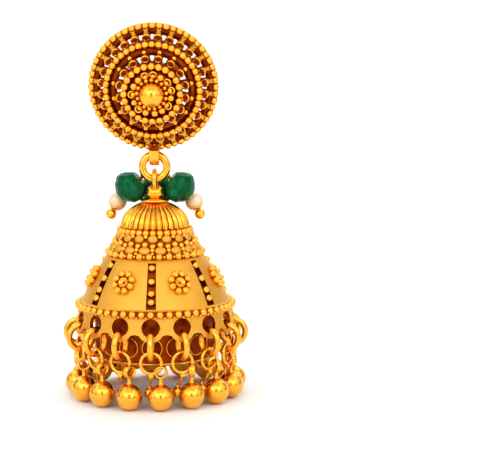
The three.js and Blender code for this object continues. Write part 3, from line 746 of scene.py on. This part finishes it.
def innerCollarPiece():
    # A band with a row of dimples, hung from a ledge inside the rim
    look = innerCollar
    work = Work()
    top = skirtFootZ - look["drop"]
    foot = top - look["height"]
    bore = look["radius"] - look["wall"]
    down = look["drop"] / (skirtFootZ - collarFootZ)
    ledge = (skirtRadius(1) + (bell["collarFoot"] - skirtRadius(1)) * down - bell["wall"]) * 0.985
    band = look["radius"]
    profile = [(bore, top), (bore, foot + 0.1), (bore + 0.1, foot), (band - 0.1, foot), (band, foot + 0.1),
               (band, top - look["ledge"]), (ledge, top - look["ledge"]), (ledge, top)]
    # The whole band, dimples too, is painted shade: it lies in shade inside the bell
    work.add(turnedShape(profile, 192), None, paintedShade)
    piece = work.piece("innerCollar", bellPlace)
    cuts = Work()
    size = (look["dimple"] ** 2 + look["dish"] ** 2) / (2 * look["dish"])
    for azimuth in azimuths(bell["chains"]):
        cuts.add(ballShape(64, 40), turn("z", azimuth)
                 @ shift(0, look["dish"] - band - size, foot + look["dimpleUp"]) @ scaled(size), paintedShade)
    cutWith(piece, cuts.piece("innerCutter", bellPlace))
    # A fine wire rim round each dimple and along the foot
    rims = Work()
    for azimuth in azimuths(bell["chains"]):
        rims.add(ringShape(look["dimple"] + 0.02, look["dimpleWire"], 36, 8),
                 outward(azimuth, band - 0.05, foot + look["dimpleUp"]))
    rims.add(ringShape(band - look["wall"] / 2, look["footWire"], 192, 10), shift(0, 0, foot + 0.15))
    smoothFaces(piece)
    return piece, rims.piece("innerCollarRims", bellPlace)


for piece in innerCollarPiece():
    settle(piece, "bell", "polished_gold", "inner_collar")


def bellOrnamentPiece():
    work = Work()
    look = bell
    half = look["rowBead"] / 2
    beadRow(work, look["rowOne"], look["firstRidge"] - half + 0.06, ridgeOne, look["rowBead"], jitter=0.03)
    # Second row: a bead under each disc and a higher one under each pair of small beads
    beadRow(work, look["pillows"], look["secondRidge"] - 0.42, ridgeTwo - 0.1, 0.92, jitter=0.03)
    beadRow(work, look["pillows"], look["secondRidge"] - 0.44, ridgeTwo + 0.18, 1.0, 0.5, jitter=0.03)
    beadRow(work, look["pillows"] * 2, look["secondRidge"] - 0.36, ridgeTwo + 0.1, 0.34, 0.25, smallBead)
    beadRow(work, look["rowThree"], look["thirdRidge"] - half, ridgeThree, look["rowBead"] * 1.04, -0.32,
            jitter=0.03)
    beadRow(work, look["rowThree"], look["thirdRidge"] - 0.32, ridgeThree, 0.42, 0.18, smallBead)
    # Two tiers of pillow discs with small beads between them
    for tier, (top, foot, topRadius, footRadius, wide) in enumerate((
            (ridgeOne, ridgeTwo, 5.5, 6.1, 1.62), (ridgeTwo, ridgeThree, 6.35, 7.15, 1.85))):
        middle = (top + foot) / 2 + 0.06
        radius = (topRadius + footRadius) / 2
        lean = math.degrees(math.atan2(footRadius - topRadius, top - foot))
        for azimuth in azimuths(look["pillows"], tier * 0.5):
            work.add(bead, outward(azimuth, radius, middle, lean) @ stretch(wide / 2, 0.68, 0.42), satin)
            between = azimuth + 180 / look["pillows"]
            stack = ((0.36, 0.7),) if tier == 0 else ((0.12, 0.74), (-0.42, 0.56))
            for drop, size in stack:
                spread = radius - drop * math.tan(math.radians(lean)) + 0.12
                place = turn("z", between) @ shift(0, -spread, middle + drop)
                work.add(smallBead, place @ scaled(size / 2))
    # Rosettes: a small cup ringed with beads, square to the skirt
    share = look["rosetteShare"]
    for azimuth in azimuths(look["panels"], 0.5):
        seat = outward(azimuth, skirtRadius(share), skirtZ(share), skirtLean(share))
        # The cup's base plate is painted shade
        work.add(turnedShape([(0, -0.2), (1.35, -0.2), (1.45, 0.1), (1.3, 0.22), (0, 0.22)], 32), seat, paintedShade)
        work.add(turnedShape([(0, 0), (0.74, 0), (0.8, 0.4), (0.77, 0.52), (0.7, 0.52), (0.62, 0.4), (0.36, 0.24),
                              (0, 0.18)], 28), seat)
        for petal in azimuths(look["rosettePetals"], 0.5):
            work.add(bead, seat @ (turn("z", petal) @ shift(0, -1.44, 0.34)) @ scaled(look["petal"]))
    # Beads in the slots, each on a small rib across the slot
    for azimuth in azimuths(look["panels"]):
        for share in look["slotBeads"]:
            seat = outward(azimuth, skirtRadius(share) - 0.28, skirtZ(share), skirtLean(share))
            work.add(bead, seat @ shift(0, 0, 0.22) @ stretch(0.55, 0.55, 0.5))
            # The ribs across the slots are painted shade
            rib = barShape(look["slotFootWidth"] + 0.5, *look["slotRib"], 0.05)
            work.add(rib, seat @ shift(0, 0, -0.1), paintedShade)
    # A fine bright edge round each hole of the collar
    course = []
    for k in range(33):
        x, z = (look["hole"] * f(2 * math.pi * k / 32) for f in (math.cos, math.sin))
        edge = collarRadius(max((collarTopZ - holeZ - z) / look["collarDrop"], 0))
        course.append((x, -math.sqrt(edge**2 - x**2), holeZ + z))
    for azimuth in azimuths(look["chains"]):
        work.add(wireShape(course, look["holeEdge"], 6), turn("z", azimuth))
    # Rim beads with seeds between them
    size = look["rimBead"]
    beadRow(work, look["rimBeads"], look["rimRadius"] - size / 2, rimZ, size, jitter=0.03)
    beadRow(work, look["rimBeads"], look["rimRadius"] - 0.3, rimZ - 0.4, 0.4, 0.5, smallBead)
    # A strip of metal closes each slot from behind, along the skirt's slope, in painted shade
    run, lap = look["skirtFoot"] - look["skirtTop"], look["stripLap"]
    outline = taperedSlot(look["slotTopWidth"] + lap, look["slotFootWidth"] + lap,
                          math.hypot(run, look["skirtHeight"]) - 0.1)
    lean = math.degrees(math.atan2(run, look["skirtHeight"]))
    for azimuth in azimuths(look["panels"]):
        seat = outward(azimuth, (look["skirtTop"] + look["skirtFoot"]) / 2, (skirtZ(0) + skirtZ(1)) / 2, lean)
        work.add(slabShape(outline, *look["stripDepths"]), seat, paintedShade)
    return work.piece("bellOrnament", bellPlace)


settle(bellOrnamentPiece(), "bell", "polished_gold")
print("bell made")

# Bead drops

drops = {
    "green": 2.7, "greenHalf": 1.95, "greenEnds": 2.04, "greenShoulder": 2.22, "greenTable": 1.3, "greenSides": 10,
    "pearl": 1.42, "endBall": 0.83, "pinWire": 0.2, "eyeWire": 0.14, "eyeClearance": 0.2, "eyePitch": 0.4,
    "beadClearance": 0.08, "capBall": 0.42,
}
sideRoute = {"cap": (1.95, 1.5, 0.34), "green": (3.9, 0.9, -1.36), "pearlWay": (2, 1.55, -2.3),
             "endWay": (0.95, -1.05, -1.84)}
dropRoutes = [
    {"name": "left", "eyeStep": 1, "side": -1, **sideRoute},
    {"name": "right", "eyeStep": 0, "side": 1, **sideRoute},
    {"name": "rear", "eyeStep": -1, "side": 1, "cap": (0, 3.1, -0.12), "green": (0, 4.8, -1.92),
     "pearlWay": (0, 2.35, -2.48), "endWay": (0, 1.15, -1.99)},
]


def facetedBead():
    # Rows of corners, each turned half a side from the last, so that the facets are diamonds
    look, sides = drops, drops["greenSides"]
    half, shoulder = look["greenEnds"], look["greenShoulder"]
    rows = [(look["greenTable"], -half, 0), (shoulder, -half * 0.58, 0.5), (look["green"], -half * 0.12, 0),
            (look["green"], half * 0.12, 0.5), (shoulder, half * 0.58, 0), (look["greenTable"], half, 0.5)]
    corners = []
    for radius, height, offset in rows:
        for k in range(sides):
            angle = 2 * math.pi * (k + offset) / sides
            corners.append((radius * math.cos(angle), radius * math.sin(angle), height))
    faces = [tuple(reversed(range(sides)))]
    for row in range(len(rows) - 1):
        low, high = row * sides, (row + 1) * sides
        ahead = rows[row][2] < rows[row + 1][2]
        for k in range(sides):
            after, before = (k + 1) % sides, (k - 1) % sides
            if ahead:
                faces.append((low + k, low + after, high + k))
                faces.append((low + k, high + k, high + before))
            else:
                faces.append((low + k, low + after, high + after))
                faces.append((low + k, high + after, high + k))
    faces.append(tuple(range(len(corners) - sides, len(corners))))
    return np.array(corners), faces, False


def dropPieces(route):
    look = drops
    middle = np.array((0, 0, loopZ))

    def toSide(values):
        return np.array((route["side"] * values[0], values[1], values[2]), float)

    capPoint, greenPoint = toSide(route["cap"]) + middle, toSide(route["green"]) + middle
    pearlWay, endWay = unit(toSide(route["pearlWay"])), unit(toSide(route["endWay"]))
    along = unit(unit(greenPoint - capPoint) + pearlWay)
    step = (look["greenHalf"] + look["pearl"] + look["beadClearance"]) / np.dot(along, pearlWay)
    pearlPoint = greenPoint + pearlWay * step
    endPoint = pearlPoint + endWay * (look["pearl"] + look["endBall"] + look["beadClearance"])
    eyeRadius = finial["loopWire"] + look["eyeClearance"] + look["eyeWire"]
    eyeCentre = np.array((0, loopRear, loopZ + route["eyeStep"] * look["eyePitch"]))
    leave = capPoint - eyeCentre
    leave[2] = 0
    course = smoothCourse([eyeCentre + unit(leave) * eyeRadius, capPoint, greenPoint, pearlPoint, endPoint], 8)

    pin = Work()
    pin.add(ringShape(eyeRadius, look["eyeWire"], 28, 8), shift(*eyeCentre))
    pin.add(wireShape(course, look["pinWire"], 10))
    size = look["endBall"]
    pin.add(ballShape(28, 18), shift(*endPoint) @ scaled(size))
    size = look["capBall"]
    pin.add(bead, shift(*capPoint) @ scaled(size))
    # Gold rims where the wire enters and leaves the pearl
    pin.add(ringShape(0.42, 0.14, 20, 8), aim(pearlWay, pearlPoint - pearlWay * (look["pearl"] - 0.1)))
    pin.add(ringShape(0.5, 0.16, 20, 8), aim(endWay, pearlPoint + endWay * (look["pearl"] - 0.12)))
    name = route["name"]
    settle(pin.piece(f"beadPin_{name}", bellPlace), "bell", "polished_gold", f"bead_pin_{name}")

    green = Work()
    green.add(facetedBead(), aim(along, greenPoint))
    settle(green.piece(f"greenBead_{name}", bellPlace, [greenStone]), "bell", "green_stone", f"green_bead_{name}")

    pearl = Work()
    size = look["pearl"]
    pearl.add(ballShape(36, 24), aim(pearlWay, pearlPoint) @ stretch(size, size, size * 0.985))
    settle(pearl.piece(f"pearlBead_{name}", bellPlace, [pearlNacre]), "bell", "pearl", f"pearl_{name}")


for route in dropRoutes:
    dropPieces(route)
print("bead drops made")

# Fringe

fringe = {"link": 1.9, "linkWire": 0.475, "linkPlaneShare": 0.625, "clearance": 0.13, "lowerLink": 1.575,
          "lowerWire": 0.275, "stemLength": 2.65, "seatDegrees": 68, "ball": 2.0, "eye": 0.85, "eyeWire": 0.22,
          "eyeBand": 2.3, "eyeTurns": (0, 74, 88, 70), "neck": (0.4, 0.32, 0.3, 0.34, 0.52), "smallBall": 0.88,
          "smallBallUp": 0.35, "smallBallRadius": 10.85, "smallWire": 0.17}
linkRadiusAt = bell["collarFoot"] - bell["wall"] * fringe["linkPlaneShare"]
linkZ = holeZ - bell["hole"] + fringe["clearance"] + fringe["linkWire"] - fringe["link"]
lowerZ = (linkZ - fringe["link"] + fringe["linkWire"] + fringe["clearance"] + fringe["lowerWire"]
          - fringe["lowerLink"])


def fringePieces(number):
    look = fringe
    azimuth = number * 360 / bell["chains"]
    place = bellPlace @ turn("z", azimuth)
    label = f"{number + 1:02d}"
    link = Work()
    link.add(ringShape(look["link"], look["linkWire"], 48, 14),
             shift(0, -linkRadiusAt, linkZ) @ turn("z", 90) @ turn("x", 90))
    settle(link.piece(f"fringeLink_{label}", place), "bell", "polished_gold", f"fringe_link_{label}")

    drop = Work()
    drop.add(ringShape(look["lowerLink"], look["lowerWire"], 40, 12),
             shift(0, -linkRadiusAt, lowerZ) @ turn("x", 90))
    seat = math.radians(look["seatDegrees"])
    across = look["lowerLink"] * math.sin(seat)
    seatZ = lowerZ - look["lowerLink"] * math.cos(seat)
    centreZ = seatZ - look["stemLength"] - look["ball"]
    # A broad eye, turned differently from chain to chain, and a short neck down to the ball
    eyeTurn = look["eyeTurns"][number % len(look["eyeTurns"])]
    drop.add(ringShape(look["eye"], look["eyeWire"], 32, 12, look["eyeBand"]),
             shift(across, -linkRadiusAt, seatZ - look["eye"] + 0.1) @ turn("z", eyeTurn) @ turn("x", 90))
    neckTop = seatZ - 2 * look["eye"] + 0.1
    neckFoot = centreZ + look["ball"] * 0.97
    drop.add(wireShape([(across, -linkRadiusAt, neckTop + (neckFoot - neckTop) * k / 4) for k in range(5)],
                       look["neck"], 14))
    drop.add(largeBall, shift(across, -linkRadiusAt, centreZ) @ scaled(look["ball"]))
    # A small ball behind hangs from a collar at the lower link's foot
    small = look["smallBall"]
    smallZ = centreZ + look["smallBallUp"]
    footZ = lowerZ - look["lowerLink"]
    drop.add(slabShape([(-0.36, -0.3), (0.36, -0.3), (0.36, 0.3), (-0.36, 0.3)], -0.62, -0.12, 0.07),
             shift(0, -linkRadiusAt, footZ))
    lean = smoothCourse([(0, -linkRadiusAt, footZ - 0.4), (-0.1, -(linkRadiusAt - 0.45), footZ - 1.3),
                         (-0.3, -look["smallBallRadius"], smallZ + small)], 5)
    drop.add(wireShape(lean, look["smallWire"], 8))
    drop.add(smallBead, shift(*(lean[-1] + (0, 0, 0.12))) @ stretch(0.36, 0.36, 0.32))
    drop.add(ballShape(20, 14), shift(-0.3, -look["smallBallRadius"], smallZ) @ scaled(small))
    settle(drop.piece(f"fringeDrop_{label}", place), "bell", "polished_gold", f"fringe_drop_{label}")


for number in range(bell["chains"]):
    fringePieces(number)
print("fringe made")

# Camera, floor and light

studio = {
    "lens": 108, "distance": 235.5, "pitch": 7, "aimY": 0.43, "aimZ": -22.3, "eyeX": 14.9,
    "floorZ": -48.6, "floorTone": 0.92, "exposure": -0.2,
}


def placeCamera():
    look = studio
    data = bpy.data.cameras.new("photoView")
    data.lens = look["lens"]
    data.sensor_width = 36
    data.clip_start = 0.01
    data.clip_end = 10
    camera = linked("photoView", data)
    pitch = math.radians(look["pitch"])
    camera.location = (look["eyeX"] * 0.001, (look["aimY"] - look["distance"] * math.cos(pitch)) * 0.001,
                       (look["aimZ"] + look["distance"] * math.sin(pitch)) * 0.001)
    camera.rotation_euler = (math.pi / 2 - pitch, 0, 0)
    bpy.context.scene.camera = camera


def floorMaterial():
    material, tree, shader = newMaterial("paleFloor")
    tone = studio["floorTone"]
    colours = [(tone - 0.02, tone, tone + 0.02), (tone, tone + 0.02, tone + 0.04)]
    feed(tree, shader, {"Base Color": colourNode(tree, noiseNode(tree, 6, 2.0), colours), "Roughness": 0.7})
    return material


def makeFloor():
    # A sweep: flat under the earring, curving up behind it
    profile = [(-6.0, 0.0)] + [(0.35 + 0.35 * math.sin(math.radians(a)), 0.35 - 0.35 * math.cos(math.radians(a)))
                               for a in range(0, 91, 6)] + [(0.7, 3.0)]
    corners, faces = [], []
    for y, z in profile:
        for x in (-6.0, 6.0):
            corners.append((x, y, z + studio["floorZ"] * 0.001))
    for k in range(len(profile) - 1):
        faces.append((2 * k, 2 * k + 1, 2 * k + 3, 2 * k + 2))
    mesh = bpy.data.meshes.new("studioFloor")
    mesh.from_pydata(corners, [], faces)
    for polygon in mesh.polygons:
        polygon.use_smooth = True
    mesh.update()
    floor = linked("studioFloor", mesh)
    floor.data.materials.append(floorMaterial())


darkCard = {"place": (0.014, -0.32, 0.02), "width": 0.08, "height": 0.3}
lights = [
    # place, height and width in metres, and brightness as seen in a mirror
    {"name": "topBox", "place": (0.0, -0.3, 1.6), "size": (3.4, 3.4), "brightness": 0.7},
    {"name": "frontBox", "place": (0.0, -0.5, 0.2), "size": (0.42, 1.0), "brightness": 1.55},
    {"name": "leftBox", "place": (-0.6, -0.2, 0.3), "size": (0.6, 0.6), "brightness": 0.98},
    {"name": "rightBox", "place": (0.6, -0.2, 0.3), "size": (0.6, 0.6), "brightness": 0.92},
    {"name": "backBox", "place": (0.0, 0.4, 0.62), "size": (0.5, 1.2), "brightness": 1.0},
]
airBrightness = 0.33
airColour = (1.0, 0.88, 0.76)


def placeLights():
    target = np.array((0, 0, -0.02))
    for look in lights:
        data = bpy.data.lights.new(look["name"], "AREA")
        data.shape = "RECTANGLE"
        data.size, data.size_y = look["size"]
        data.energy = look["brightness"] * math.pi * data.size * data.size_y
        light = linked(look["name"], data)
        light.matrix_world = aim(np.array(look["place"]) - target, look["place"]).T.tolist()
        light.visible_camera = False
    world = bpy.data.worlds.new("studioAir")
    bpy.context.scene.world = world
    world.use_nodes = True
    air = world.node_tree.nodes["Background"]
    air.inputs["Color"].default_value = (*airColour, 1)
    air.inputs["Strength"].default_value = airBrightness


def makeDarkCard():
    # Stands behind the camera and gives every ball its small dark spot
    look = darkCard
    half, tall = look["width"] / 2, look["height"] / 2
    x, y, z = look["place"]
    corners = [(x - half, y, z - tall), (x + half, y, z - tall), (x + half, y, z + tall), (x - half, y, z + tall)]
    mesh = bpy.data.meshes.new("darkCard")
    mesh.from_pydata(corners, [], [(0, 1, 2, 3)])
    card = linked("darkCard", mesh)
    material, tree, shader = newMaterial("darkCard")
    shader.inputs["Base Color"].default_value = (0.01, 0.008, 0.006, 1)
    card.data.materials.append(material)
    card.visible_camera = False
    card.visible_shadow = False


placeCamera()
makeFloor()
makeDarkCard()
placeLights()
viewing = bpy.context.scene.view_settings
viewing.view_transform = "Standard"
viewing.look = "Medium High Contrast"
viewing.exposure = studio["exposure"]
print("studio made")
